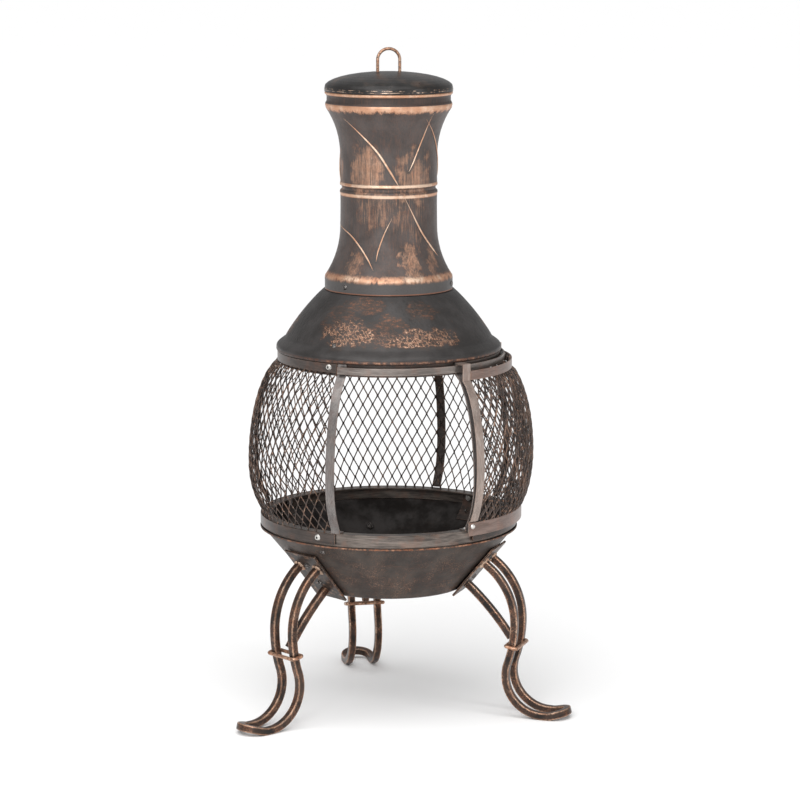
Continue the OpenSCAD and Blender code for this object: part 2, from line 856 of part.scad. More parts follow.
module leg_plate_right() { leg_plate(leg_a[0]); }
module leg_bar_right() { leg_bar(leg_a[0]); }
module leg_brace_right() { leg_brace(leg_a[0]); }
module leg_collar_right() { leg_collar(leg_a[0]); }
module leg_bolts_right() { leg_bolts(leg_a[0]); }

module leg_plate_rear() { leg_plate(leg_a[1]); }
module leg_bar_rear() { leg_bar(leg_a[1]); }
module leg_brace_rear() { leg_brace(leg_a[1]); }
module leg_collar_rear() { leg_collar(leg_a[1]); }
module leg_bolts_rear() { leg_bolts(leg_a[1]); }

module leg_plate_left() { leg_plate(leg_a[2]); }
module leg_bar_left() { leg_bar(leg_a[2]); }
module leg_brace_left() { leg_brace(leg_a[2]); }
module leg_collar_left() { leg_collar(leg_a[2]); }
module leg_bolts_left() { leg_bolts(leg_a[2]); }

// ---- what is drawn --------------------------------------------------------

module on_axis() {
    translate(axis_at) children();
}

on_axis() rain_lid();
on_axis() lid_handle();
on_axis() lid_handle_nuts();
on_axis() lid_tabs();
on_axis() chimney();
on_axis() chimney_screws();
on_axis() smoke_hood();
on_axis() hood_brackets();
on_axis() hood_screws();
on_axis() screen_top_ring();
on_axis() screen_top_band();
on_axis() screen_top_bolts();
on_axis() door_rail();
on_axis() rail_standoffs();
on_axis() opening_post_left();
on_axis() opening_post_right();
on_axis() side_strap_left();
on_axis() side_strap_right();
on_axis() rear_strap();
on_axis() mesh_left();
on_axis() mesh_right();
on_axis() screen_bottom_ring();
on_axis() screen_bottom_band();
on_axis() screen_bottom_bolts();
on_axis() post_rivets();
on_axis() bowl_brackets();
on_axis() bowl_screws();
on_axis() fire_bowl();
on_axis() fire_grate();
on_axis() door_mesh();
on_axis() door_top_band();
on_axis() door_bottom_band();
on_axis() door_leading_post();
on_axis() door_trailing_post();
on_axis() door_rivets();
on_axis() leg_plate_left();
on_axis() leg_bar_left();
on_axis() leg_brace_left();
on_axis() leg_collar_left();
on_axis() leg_bolts_left();
on_axis() leg_plate_right();
on_axis() leg_bar_right();
on_axis() leg_brace_right();
on_axis() leg_collar_right();
on_axis() leg_bolts_right();
on_axis() leg_plate_rear();
on_axis() leg_bar_rear();
on_axis() leg_brace_rear();
on_axis() leg_collar_rear();
on_axis() leg_bolts_rear();
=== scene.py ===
"""Looks of the garden chiminea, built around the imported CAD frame.

Metres, +Z up, the fire opening faces -Y. Places are worked out around the chimney's upright axis, and new
pieces stand on that axis. Angles are counted from the front (-Y) and grow towards +X. Finishes count in
millimetres.
"""
import math

import bmesh
import bpy
import numpy as np
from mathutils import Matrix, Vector, noise
from mathutils.bvhtree import BVHTree


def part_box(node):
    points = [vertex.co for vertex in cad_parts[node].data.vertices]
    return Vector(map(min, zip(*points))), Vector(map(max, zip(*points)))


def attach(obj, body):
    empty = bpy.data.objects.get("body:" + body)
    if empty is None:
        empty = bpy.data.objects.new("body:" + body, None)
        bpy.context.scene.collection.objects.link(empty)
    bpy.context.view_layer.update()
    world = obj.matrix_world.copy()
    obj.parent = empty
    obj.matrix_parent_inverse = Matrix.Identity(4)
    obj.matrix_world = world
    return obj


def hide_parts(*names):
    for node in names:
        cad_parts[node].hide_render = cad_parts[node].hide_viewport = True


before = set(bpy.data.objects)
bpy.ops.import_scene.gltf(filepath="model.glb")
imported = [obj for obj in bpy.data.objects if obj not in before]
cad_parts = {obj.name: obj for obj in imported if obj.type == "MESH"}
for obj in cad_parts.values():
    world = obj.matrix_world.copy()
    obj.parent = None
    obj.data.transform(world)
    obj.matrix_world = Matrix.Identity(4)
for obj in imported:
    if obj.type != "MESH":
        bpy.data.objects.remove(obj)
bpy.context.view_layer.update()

MM = 0.001
LEGS = ("left", "right", "rear")
AXIS = (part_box("chimney")[0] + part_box("chimney")[1]) / 2
AXIS.z = 0


# ---- reading the frame ---------------------------------------------------------------------------

def turned(radius, angle, z):
    """Point at a radius, an angle in degrees from the front and a height."""
    a = math.radians(angle)
    return Vector((radius * math.sin(a), -radius * math.cos(a), z))


def corners(node):
    """A CAD node's vertices as an array, from the axis."""
    return np.array([v.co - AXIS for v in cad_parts[node].data.vertices], float)


def faces_of(node):
    """Search tree of a CAD node's faces, from the axis."""
    faces = [p.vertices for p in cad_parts[node].data.polygons]
    return BVHTree.FromPolygons([Vector(p) for p in corners(node)], faces)


def span(node):
    """First and last angle of a CAD node that goes part of the way round, in degrees."""
    co = corners(node)
    a = np.degrees(np.arctan2(co[:, 0], -co[:, 1])) % 360
    return a.min(), a.max()


def outline(node, angle):
    """Outer outline of a round CAD node as (radius, z) rows from top to bottom, read at one angle."""
    co = corners(node)
    tree = faces_of(node)
    radii, heights = np.hypot(co[:, 0], co[:, 1]), np.round(co[:, 2], 5)
    rows = []
    for z in sorted(set(heights), reverse=True):
        largest = radii[heights == z].max()
        inside = min(max(z, heights.min() + 1e-6), heights.max() - 1e-6)
        hit = tree.ray_cast(turned(1, angle, inside), turned(-1, angle, 0), 1)[0]
        on_wall = hit is not None and abs(math.hypot(hit.x, hit.y) - largest) < 0.4 * MM
        if on_wall and (not rows or rows[-1][1] - z > 0.25 * MM):
            rows.append((largest, z))
    return np.array(rows)


# ---- outlines ------------------------------------------------------------------------------------

def resampled(line, step, corner=24):
    """The outline with points every step: round between its points, but sharp where it turns by more than
    corner degrees."""
    line = np.asarray(line, float)
    ways = np.diff(line, axis=0)
    turns = np.degrees(np.arctan2(ways[:, 1], ways[:, 0]))
    bends = np.abs((np.diff(turns) + 180) % 360 - 180)
    stops = [0] + [i + 1 for i in np.flatnonzero(bends > corner)] + [len(line) - 1]
    out = []
    for first, last in zip(stops, stops[1:]):
        part = line[first:last + 1]
        ends = np.vstack([2 * part[0] - part[1], part, 2 * part[-1] - part[-2]])
        for i in range(len(part) - 1):
            a, b, c, d = ends[i:i + 4]
            out += rounded(a, b, c, d, max(1, round(np.linalg.norm(c - b) / step)))
    return np.array(out + [line[-1]])


def rounded(a, b, c, d, count):
    """Points from b up to c on a centripetal curve through a, b, c and d."""
    gaps = [math.sqrt(np.linalg.norm(q - p)) for p, q in ((a, b), (b, c), (c, d))]
    t0, t1, t2, t3 = np.cumsum([0] + gaps)
    points = []
    for t in np.linspace(t1, t2, count, endpoint=False):
        ab, bc, cd = between(a, b, t0, t1, t), between(b, c, t1, t2, t), between(c, d, t2, t3, t)
        points.append(between(between(ab, bc, t0, t2, t), between(bc, cd, t1, t3, t), t1, t2, t))
    return points


def between(p, q, start, end, t):
    """Point at t on the straight way that is at p at start and at q at end."""
    return (p * (end - t) + q * (t - start)) / (end - start)


def beside(line, t):
    """The outline moved inwards by t. It runs downwards, with the outside on its left."""
    ways = np.diff(line, axis=0)
    ways /= np.linalg.norm(ways, axis=1)[:, None]
    sides = np.stack([ways[:, 1], -ways[:, 0]], 1)
    both = np.vstack([sides[:1], sides[:-1] + sides[1:], sides[-1:]])
    both /= np.linalg.norm(both, axis=1)[:, None]
    moved = line + t * both
    moved[:, 0] = np.maximum(moved[:, 0], 0)
    return moved


# ---- meshes --------------------------------------------------------------------------------------

def piece(name, body, material, data, stands_for):
    """A new piece that rides on a body and stands for a CAD node."""
    ob = bpy.data.objects.new(name, data)
    ob.location = AXIS
    bpy.context.scene.collection.objects.link(ob)
    data.materials.append(material)
    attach(ob, body)
    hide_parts(stands_for)
    return ob


def mesh_of(name, points, faces, relief):
    """Mesh data with smooth shading, and relief: how far each point stands proud, 0 to 1."""
    data = bpy.data.meshes.new(name)
    data.from_pydata([tuple(p) for p in points], [], faces)
    attribute = data.attributes.new("relief", "FLOAT", "POINT")
    attribute.data.foreach_set("value", np.asarray(relief, np.float32))
    bm = bmesh.new()
    bm.from_mesh(data)
    bmesh.ops.recalc_face_normals(bm, faces=bm.faces)
    bm.to_mesh(data)
    bm.free()
    data.polygons.foreach_set("use_smooth", [True] * len(data.polygons))
    data.set_sharp_from_angle(angle=math.radians(35))
    return data


def joined(parts):
    """Several (points, faces, relief) parts as one."""
    points, faces, relief = [], [], []
    for part_points, part_faces, part_relief in parts:
        shift = len(points)
        points += list(part_points)
        faces += [tuple(i + shift for i in face) for face in part_faces]
        relief += list(part_relief)
    return points, faces, relief


def smooth_wall(angle, z, radius):
    """Nothing stands proud of a plain wall."""
    return 0, 0


def lathe(line, thickness, segments, proud):
    """Closed shell: an outline turned all the way round, with an inner side. proud(angle, z, radius) gives
    how far the outside stands proud there, in metres, and its relief."""
    rings = np.vstack([line, beside(line, thickness)[::-1]])
    count, outer = len(rings), len(line)
    points, relief = [], []
    for s in range(segments):
        angle = 360 * s / segments
        for i, (r, z) in enumerate(rings):
            height, mark = proud(angle, z, r) if 0 < i < outer - 1 else (0, 0)
            points.append(turned(max(r + height, 1e-5), angle, z))
            relief.append(mark)
    faces = []
    for s in range(segments):
        a, b = s * count, (s + 1) % segments * count
        for i in range(count):
            j = (i + 1) % count
            faces.append((a + i, b + i, b + j, a + j))
    return points, faces, relief


def sweep(path, section, edge):
    """A section swept along path, rows of (point, across, up), with closed ends. edge is its relief."""
    points, relief = [], []
    for point, across, up in path:
        for (u, v), mark in zip(section, edge):
            points.append(point + across * u + up * v)
            relief.append(mark)
    n = len(section)
    faces = []
    for k in range(len(path) - 1):
        for i in range(n):
            j = (i + 1) % n
            faces.append((k * n + i, k * n + j, k * n + n + j, k * n + n + i))
    faces.append(tuple(range(n))[::-1])
    faces.append(tuple(range(len(points) - n, len(points))))
    return points, faces, relief


BEAD_SIDES = 6


def round_bead(centre, radius):
    """Small round bead, with the relief of a well rubbed edge."""
    up = Vector((0, 0, radius))
    points = [centre + up]
    for tilt in (45, 90, 135):
        out, rise = radius * math.sin(math.radians(tilt)), radius * math.cos(math.radians(tilt))
        points += [centre + turned(out, 360 * i / BEAD_SIDES, rise) for i in range(BEAD_SIDES)]
    points.append(centre - up)
    rows = [[1 + BEAD_SIDES * row + i for i in range(BEAD_SIDES)] for row in range(3)]
    faces = []
    for i in range(BEAD_SIDES):
        j = (i + 1) % BEAD_SIDES
        faces.append((0, rows[0][i], rows[0][j]))
        faces += [(a[i], b[i], b[j], a[j]) for a, b in zip(rows, rows[1:])]
        faces.append((rows[2][i], len(points) - 1, rows[2][j]))
    return points, faces, [1.3] * len(points)


# ---- materials -----------------------------------------------------------------------------------

class Finish:
    """A material under construction, in millimetres. Each method adds nodes and returns an output."""

    def __init__(self, name):
        self.material = bpy.data.materials.new(name)
        self.material.use_nodes = True
        self.tree = self.material.node_tree
        self.tree.nodes.clear()
        place = self.add("TexCoord").outputs["Object"]
        self.mm = self.add("VectorMath", [(0, place), (3, 1 / MM)], operation="SCALE").outputs[0]
        x, y, self.z = self.add("SeparateXYZ", [(0, self.mm)]).outputs
        self.angle = self.math("DEGREES", self.math("ARCTAN2", x, self.math("MULTIPLY", y, -1)))

    def add(self, kind, inputs=(), **settings):
        node = self.tree.nodes.new("ShaderNode" + kind)
        for key, value in settings.items():
            setattr(node, key, value)
        for key, value in inputs:
            self.put(node.inputs[key], value)
        return node

    def put(self, socket, value):
        """Links an output to a socket, or sets the socket's value."""
        if isinstance(value, bpy.types.NodeSocket):
            self.tree.links.new(value, socket)
        elif isinstance(value, tuple) and socket.type == "RGBA":
            socket.default_value = (*value, 1)
        else:
            socket.default_value = value

    def math(self, op, a, b=0.0):
        return self.add("Math", [(0, a), (1, b)], operation=op).outputs[0]

    def plus(self, *values):
        out = values[0]
        for value in values[1:]:
            out = self.math("ADD", out, value)
        return out

    def times(self, *values):
        out = values[0]
        for value in values[1:]:
            out = self.math("MULTIPLY", out, value)
        return out

    def most(self, *values):
        out = values[0]
        for value in values[1:]:
            out = self.math("MAXIMUM", out, value)
        return out

    def less(self, a, b):
        return self.math("SUBTRACT", a, b)

    def rest(self, value):
        """What is left of 1."""
        return self.math("SUBTRACT", 1.0, value)

    def step(self, value, low, high):
        """0 below low and 1 above high, with a smooth way between them."""
        inputs = [("Value", value), ("From Min", low), ("From Max", high)]
        return self.add("MapRange", inputs, interpolation_type="SMOOTHSTEP").outputs[0]

    def near(self, value, middle, half, soft):
        """1 around middle, 0 further away than half. soft is the share of half over which it falls."""
        away = self.math("ABSOLUTE", self.less(value, middle))
        return self.rest(self.step(away, half * (1 - soft), half))

    def stretched(self, x, y, z):
        """Position with each axis multiplied, for grain that runs along the axis of the small number."""
        return self.add("VectorMath", [(0, self.mm), (1, (x, y, z))], operation="MULTIPLY").outputs[0]

    def noise(self, size, detail=3.0, roughness=0.55, grain=(1, 1, 1)):
        """Fractal noise with features of about size, mostly between 0.3 and 0.7."""
        inputs = [("Vector", self.stretched(*grain)), ("Scale", 1 / size), ("Detail", detail),
                  ("Roughness", roughness)]
        return self.add("TexNoise", inputs).outputs["Fac"]

    def patch(self, angle, z, half_angle, half_z, wobble):
        """Soft spot around an angle and a height, with an outline that wobble makes uneven."""
        u = self.math("DIVIDE", self.less(self.angle, angle), half_angle)
        v = self.math("DIVIDE", self.less(self.z, z), half_z)
        uneven = self.less(self.step(self.noise(13), 0.3, 0.7), 0.5)
        away = self.plus(self.times(u, u), self.times(v, v), self.times(uneven, wobble))
        return self.rest(self.step(away, 0.1, 1.0))

    def patches(self, base, rows):
        """Several patches, as (angle, height above base, half_angle, half_z, wobble, strength) rows."""
        spots = [self.times(self.patch(angle, base + above, half_angle, half_z, wobble), strength)
                 for angle, above, half_angle, half_z, wobble, strength in rows]
        return self.most(*spots)

    def mix(self, a, b, share):
        return self.add("Mix", [(0, share), (6, a), (7, b)], data_type="RGBA").outputs[2]

    def relief(self):
        return self.add("Attribute", attribute_name="relief").outputs["Fac"]

    def edge(self, width):
        """1 on edges, by how far a normal rounded over that width leans from the face's own."""
        soft = self.add("Bevel", [("Radius", width * MM)], samples=4).outputs[0]
        flat = self.add("NewGeometry").outputs["Normal"]
        lean = self.add("VectorMath", [(0, soft), (1, flat)], operation="DOT_PRODUCT").outputs["Value"]
        return self.step(self.rest(lean), 0.02, 0.2)

    def inside(self, below=0):
        """1 on faces that look towards the upright axis, or rather towards a point on it that far up. below
        says how far, so that faces that look up count too."""
        flat = self.add("NewGeometry").outputs["Normal"]
        sideways = self.stretched(1, 1, 0)
        away = self.add("VectorMath", [(0, sideways), (1, (0, 0, -below))], operation="ADD").outputs[0]
        lean = self.add("VectorMath", [(0, flat), (1, away)], operation="DOT_PRODUCT").outputs["Value"]
        return self.math("LESS_THAN", lean, 0.0)

    def done(self, colour, metallic, roughness, height=None, depth=0.0, specular=0.5):
        """Ends the material with a Principled shader and a bump that is depth high."""
        inputs = [("Base Color", colour), ("Metallic", metallic), ("Roughness", roughness),
                  ("Specular IOR Level", specular)]
        if height is not None:
            bump = self.add("Bump", [("Height", height), ("Distance", depth * MM)])
            inputs.append(("Normal", bump.outputs[0]))
        shader = self.add("BsdfPrincipled", inputs)
        self.add("OutputMaterial", [("Surface", shader.outputs[0])])
        return self.material


BLACK = (0.012, 0.010, 0.009)
CHARCOAL = (0.032, 0.0295, 0.0285)
GREY_CHARCOAL = (0.050, 0.0455, 0.0440)
PALE_CHARCOAL = (0.078, 0.069, 0.066)
SKIRT_GREY = (0.078, 0.072, 0.070)
RUST = (0.30, 0.115, 0.058)
COPPER = (0.52, 0.285, 0.18)
PALE_COPPER = (0.72, 0.53, 0.40)
STEEL = (0.36, 0.33, 0.31)
ZINC = (0.66, 0.64, 0.61)
GRIME = (0.16, 0.13, 0.11)

# Grains of brushed straps, for Finish.noise
AROUND = (0.05, 0.05, 1.6)
UPRIGHT = (1.4, 1.4, 0.05)


def aged(f, dark, second, copper_mask, tone, gloss, height=None, depth=0.25, sooty=None):
    """Dark lacquer in two tones, turned to copper where the copper mask is 1, sooted where sooty is 1. The
    copper mask is rubbed copper, and in the lid, hood and bowl finishes also painted highlight and sheen.
    tone runs from rusty to pale copper."""
    cloud = f.step(f.noise(26, 4), 0.35, 0.68)
    grain = f.noise(1.1, 3, 0.7)
    base = f.mix(f.mix(dark, second, cloud), BLACK, f.times(f.step(grain, 0.52, 0.78), 0.5))
    metal = f.mix(f.mix(RUST, COPPER, f.step(tone, 0.25, 0.5)), PALE_COPPER, f.step(tone, 0.48, 0.78))
    colour = f.mix(base, metal, copper_mask)
    metallic = f.plus(f.times(copper_mask, 0.35), 0.35)
    rough = f.plus(f.times(f.less(f.noise(3, 2), 0.5), 0.22), gloss)
    if sooty is not None:
        colour = f.mix(colour, f.mix(BLACK, GREY_CHARCOAL, cloud), f.times(sooty, 0.92))
        rough = f.plus(rough, f.times(sooty, 0.35))
    bumps = f.times(grain, 0.35)
    if height is not None:
        bumps = f.plus(bumps, height)
    return f.done(colour, metallic, rough, bumps, depth, 0.28)


# Rubbed patches on the chimney: around the groove, and above the crease at the skirt's top
GROOVE_PATCHES = [
    (-34, 22, 30, 52, 0.6, 1), (26, 16, 34, 50, 0.6, 0.9), (-92, 22, 26, 44, 0.6, 0.8),
    (100, 24, 32, 48, 0.6, 0.9), (176, 24, 34, 50, 0.6, 0.9), (-20, -22, 44, 40, 0.6, 0.62),
    (22, -40, 22, 50, 0.6, 0.5),
]
CREASE_PATCHES = [
    (16, 26, 16, 34, 1.1, 0.85), (46, 24, 13, 28, 1.0, 0.8), (-44, 22, 14, 30, 0.7, 0.72),
    (108, 26, 26, 30, 0.7, 0.85), (-118, 26, 28, 30, 0.7, 0.85), (168, 30, 26, 36, 0.7, 0.85),
]


def chimney_finish(z):
    """Charcoal lacquer with upright dry-brush streaks; z names the chimney's heights in millimetres."""
    f = Finish("chimney_lacquer")
    groove, crease = z["groove"], z["crease"]
    streak = f.step(f.noise(1.3, 4, 0.7, (1, 1, 0.06)), 0.32, 0.68)
    broad = f.step(f.noise(6, 3, 0.6, (1, 1, 0.10)), 0.30, 0.70)
    dust = f.step(f.noise(0.8, 2, 0.7, (1, 1, 0.4)), 0.30, 0.70)
    brushed = f.most(f.patches(groove, GROOVE_PATCHES), f.patches(crease, CREASE_PATCHES))

    # Bands along the rolled beads; ragged is a height with an uneven offset
    ragged = f.plus(f.z, f.times(f.less(f.plus(broad, f.times(dust, 0.5)), 0.75), 4.5))
    under_bead = f.times(f.rest(f.step(f.z, z["bead"] + 1.4, z["bead"] + 2.6)),
                         f.step(ragged, z["bead"] - 11, z["bead"] - 2))
    bands = f.most(
        f.near(f.z, z["mouth"] - 2.6, 2.9, 0.5),
        under_bead,
        f.times(f.near(f.z, groove + 5.6, 3.4, 0.8), 0.95),
        f.times(f.near(f.z, groove - 7.8, 3.8, 0.8), 0.95),
        f.times(f.near(ragged, crease + 1.5, 10, 1), f.step(broad, -0.8, 0.7)),
    )
    chips = f.rest(f.times(f.step(f.noise(1.1, 3, 0.8), 0.58, 0.68), 0.6))
    rough_bands = f.plus(f.times(bands, 0.95), f.times(f.plus(dust, streak), 0.14))
    band = f.times(f.step(rough_bands, 0.30, 1.05), chips)

    # Brushing, which doesn't reach the wall close to a ridge
    ridge = f.step(f.relief(), 0.35, 0.8)
    bare = f.rest(f.times(f.step(f.times(f.relief(), -1), 0.15, 0.85), 0.9))
    level = f.plus(f.times(streak, 0.34), f.times(broad, 0.22), f.times(dust, 0.16), f.times(brushed, 0.50))
    veil = f.times(streak, f.plus(f.times(broad, 0.10), 0.06))
    brushing = f.times(f.most(f.times(f.step(level, 0.42, 1.28), 0.86), veil), bare)

    # Skirt and necking are left dark, but for a line on the skirt's lip
    skirt = f.rest(f.step(f.z, crease - 5, crease + 1))
    necking = f.times(f.step(f.z, z["bead"] + 2.5, z["bead"] + 3.5), 0.85)
    lip = f.times(f.near(f.z, z["foot"] + 0.8, 0.9, 0.4), 0.55)
    copper_mask = f.most(f.times(f.most(brushing, band, ridge), f.rest(skirt)), lip)
    dark = f.mix(f.mix(GREY_CHARCOAL, CHARCOAL, necking), SKIRT_GREY, skirt)
    second = f.mix(f.mix(PALE_CHARCOAL, CHARCOAL, necking), SKIRT_GREY, skirt)
    tone = f.plus(f.times(f.noise(11), 0.5), f.times(brushed, 0.27), f.times(f.most(bands, ridge), 0.30))
    return aged(f, dark, second, copper_mask, tone, 0.44, f.times(streak, 0.5), 0.12, f.inside())


# Rubbed patches on the smoke hood, above its lower crease: golden on the proud texture, orange as a smear
GOLDEN_PATCHES = [
    (-31, 17, 20, 22, 1.0, 1), (13, 13, 28, 15, 1.0, 1), (-8, 15, 12, 16, 0.6, 0.5),
    (100, 18, 30, 18, 0.6, 0.8), (172, 14, 34, 14, 0.6, 0.9), (-112, 18, 32, 20, 0.6, 0.8),
]
ORANGE_PATCHES = [
    (-5, 33, 13, 13, 0.9, 1), (-12, 20, 18, 22, 0.9, 0.55), (-42, 38, 16, 24, 0.9, 0.5),
    (130, 34, 30, 20, 0.9, 0.7), (-150, 34, 34, 20, 0.9, 0.7),
]
TOP_ORANGE_PATCHES = [(-26, -11, 17, 12, 0.9, 0.9), (16, -18, 16, 14, 0.9, 0.55)]


def hood_finish(z):
    """Charcoal lacquer over a hammered sheet, copper where the hammered texture stands proud, and a copper
    line on its bead, rubbed all round and brighter at the front as painted sheen.
    """
    f = Finish("hood_lacquer")
    crumbs = f.noise(1.2, 3, 0.75)
    around = f.noise(2.2, 4, 0.7, (0.25, 0.25, 1))
    golden = f.patches(z["crease"], GOLDEN_PATCHES)
    orange = f.most(f.patches(z["crease"], ORANGE_PATCHES), f.patches(z["top"], TOP_ORANGE_PATCHES))
    fleck = f.step(crumbs, 0.38, 0.62)
    edge = f.less(f.plus(golden, f.times(fleck, 0.3)), 0.3)
    speckle = f.times(f.step(f.relief(), 0.56, 0.92), f.step(fleck, 0.15, 0.8), f.step(edge, -0.1, 0.95))
    strokes = f.plus(f.times(around, 0.6), f.times(crumbs, 0.4))
    smear = f.times(f.step(strokes, 0.49, 0.62), f.step(orange, 0.05, 0.8))
    stray = f.times(f.step(strokes, 0.58, 0.72), 0.25)
    # Painted sheen: the bead's copper line is made brighter towards the front, where the light falls on it.
    front = f.near(f.angle, 5, 75, 0.8)
    bead_line = f.times(f.near(f.z, z["bead"], 2.9, 0.8), f.step(f.noise(7, 4, 0.75), 0.34, 0.66),
                        f.plus(f.times(front, 0.45), 0.15))
    copper_mask = f.most(f.times(speckle, 0.75), f.times(smear, 0.5), stray, bead_line)
    tone = f.plus(f.times(f.noise(6), 0.45), f.times(f.most(speckle, bead_line), 0.34))
    warm = f.times(f.most(golden, orange), 0.9)
    dark = f.mix(CHARCOAL, (0.048, 0.036, 0.030), warm)
    second = f.mix((0.050, 0.046, 0.045), (0.068, 0.052, 0.044), warm)
    return aged(f, dark, second, copper_mask, tone, 0.42, f.times(crumbs, 0.6), 0.2, f.inside())


def lid_finish(rim):
    """Satin charcoal with a faint brown cloud, and two thin painted highlights along its rim, whose height in
    millimetres is given.
    """
    f = Finish("lid_lacquer")
    cloud = f.times(f.step(f.noise(22, 4), 0.5, 0.75), 0.10)
    # Painted highlights: lines are two thin pale lines just above the rim, and worn is only the patchy noise
    # that breaks them up.
    worn = f.step(f.noise(9, 3, 0.6, (1, 1, 3)), 0.48, 0.60)
    lines = f.times(f.most(f.near(f.z, rim + 2.2, 0.7, 0.6), f.near(f.z, rim + 4.6, 0.6, 0.6)), worn, 0.6)
    tone = f.plus(f.noise(6), f.times(lines, 0.5))
    copper_mask = f.most(cloud, lines)
    return aged(f, (0.024, 0.0225, 0.022), (0.040, 0.038, 0.037), copper_mask, tone, 0.32, None, 0.08)


def bowl_finish(rim):
    """Charcoal-brown lacquer with a faint golden speckle low on the wall, and a copper line on the rim, whose
    height is given: rubbed all round, and brighter at the front as painted sheen."""
    f = Finish("bowl_lacquer")
    cloud = f.step(f.noise(24), 0.36, 0.62)
    low = f.rest(f.step(f.z, rim - 50, rim - 8))
    speckle = f.times(f.step(f.noise(1.5, 3, 0.75), 0.50, 0.64), f.plus(f.times(cloud, 0.75), 0.25),
                      f.plus(f.times(low, 0.26), 0.22))
    strokes = f.noise(2.0, 4, 0.6, (0.06, 0.06, 1))
    smear = f.times(f.step(strokes, 0.56, 0.75), 0.16)
    # Painted sheen: the rim's copper line is made stronger towards the front, where the light falls on it.
    front = f.near(f.angle, 0, 90, 0.9)
    line = f.times(f.step(f.z, rim - 3.0, rim - 2.2), f.step(f.noise(6, 4, 0.7), 0.36, 0.6),
                   f.plus(f.times(front, 0.5), 0.25))
    tone = f.plus(f.times(f.noise(5), 0.4), f.times(cloud, 0.2))
    copper_mask = f.most(speckle, smear, line)
    return aged(f, (0.036, 0.030, 0.027), (0.062, 0.052, 0.045), copper_mask, tone, 0.5, strokes, 0.12, f.inside(80))


def strap_finish(name, dark, light, grain, gleam, warmth):
    """Brushed strap: fine lines along the strap (grain stretches them), worn to copper on its edges. gleam is
    how metallic it is, and warmth how much of it is rusty."""
    f = Finish(name)
    lines = f.noise(1.0, 4, 0.7, grain)
    broad = f.noise(9, 3, 0.6, [min(1, 4 * g) for g in grain])
    base = f.mix(dark, light, f.step(f.plus(f.times(lines, 0.6), f.times(broad, 0.4)), 0.36, 0.66))
    base = f.mix(base, RUST, f.times(f.step(f.noise(16, 4), 0.46, 0.68), warmth, 0.5))
    rim = f.times(f.edge(0.9), f.step(f.noise(4), 0.3, 0.55), 0.8)
    rough = f.plus(f.times(f.less(lines, 0.5), 0.3), 0.34)
    return f.done(f.mix(base, COPPER, rim), gleam, rough, lines, 0.05)


def leg_finish():
    """Nearly black lacquer on the bars' faces, rubbed to gold and copper along the edges."""
    f = Finish("leg_lacquer")
    edge = f.relief()
    grit = f.step(f.noise(1.3, 4, 0.75), 0.36, 0.64)
    cloud = f.step(f.noise(15, 4), 0.40, 0.62)
    ragged = f.plus(edge, f.times(f.less(grit, 0.5), 0.75))
    copper_mask = f.most(f.times(f.step(ragged, 0.42, 1.1), f.plus(f.times(cloud, 0.45), 0.5)),
                 f.times(f.step(grit, 0.35, 0.9), cloud, 0.5))
    tone = f.plus(f.times(f.noise(9), 0.6), f.times(edge, 0.3))
    return aged(f, (0.014, 0.012, 0.011), (0.055, 0.036, 0.028), copper_mask, tone, 0.32, None, 0.15)


def plate_finish():
    """Dark plate with rust-copper clouds and worn rims."""
    f = Finish("plate_lacquer")
    rim = f.times(f.edge(1.6), f.step(f.noise(3), 0.15, 0.45), 0.95)
    smear = f.times(f.step(f.noise(7, 4), 0.50, 0.68), 0.4)
    return aged(f, (0.024, 0.020, 0.018), (0.046, 0.034, 0.029), f.most(rim, smear), f.noise(6), 0.42)


def mesh_finish():
    """Dark brown lacquer on the expanded metal, copper where the strands catch the brush."""
    f = Finish("mesh_lacquer")
    copper_mask = f.most(f.times(f.step(f.noise(3.5, 4, 0.7), 0.52, 0.70), 0.55),
                 f.times(f.step(f.noise(24), 0.5, 0.7), 0.25))
    return aged(f, (0.026, 0.020, 0.018), (0.080, 0.060, 0.052), copper_mask, f.noise(6), 0.34)


def wire_finish(name, share):
    """Copper-coloured wire with dark lacquer left in patches. share is how coppery the rest is."""
    f = Finish(name)
    copper_mask = f.times(f.step(f.noise(3.0, 4, 0.7), 0.34, 0.58), share)
    return aged(f, (0.050, 0.036, 0.030), (0.12, 0.080, 0.062), copper_mask, f.noise(5), 0.34)


def zinc_finish():
    """Zinc-plated fastener with dirt on it, and painted shade in its socket."""
    f = Finish("zinc_plate")
    dirt = f.times(f.step(f.noise(2.2, 4, 0.7), 0.45, 0.7), 0.5)
    # Painted shade: the socket, where ambient occlusion finds the surface closed in, is mixed to black.
    open_sky = f.add("AmbientOcclusion", [("Distance", 3 * MM)], samples=8).outputs["AO"]
    socket = f.rest(f.step(open_sky, 0.45, 0.85))
    rough = f.plus(f.times(f.noise(1.2, 2), 0.2), 0.30)
    return f.done(f.mix(f.mix(ZINC, GRIME, dirt), BLACK, socket), 0.85, rough, f.noise(0.8, 2), 0.04)


def screw_finish():
    """Blackened screw with bright worn spots."""
    f = Finish("screw_black")
    worn = f.times(f.step(f.noise(1.6, 3, 0.7), 0.46, 0.62), 0.75)
    return f.done(f.mix((0.035, 0.030, 0.028), STEEL, worn), 0.7, 0.34, f.noise(0.9, 2), 0.05)


def soot_finish():
    """Black iron with ash-grey bloom."""
    f = Finish("soot_iron")
    ash = f.times(f.step(f.noise(9, 4), 0.5, 0.72), 0.35)
    rough = f.plus(f.times(f.noise(2, 2), 0.2), 0.55)
    colour = f.mix((0.018, 0.017, 0.016), (0.11, 0.10, 0.095), ash)
    return f.done(colour, 0.3, rough, f.noise(1.2, 4, 0.7), 0.2)


def floor_finish():
    """Nearly white floor."""
    f = Finish("pale_floor")
    return f.done(f.mix((0.965, 0.965, 0.965), (0.95, 0.95, 0.95), f.noise(300, 2)), 0.0, 0.6)


# ---- pressed shells ------------------------------------------------------------------------------

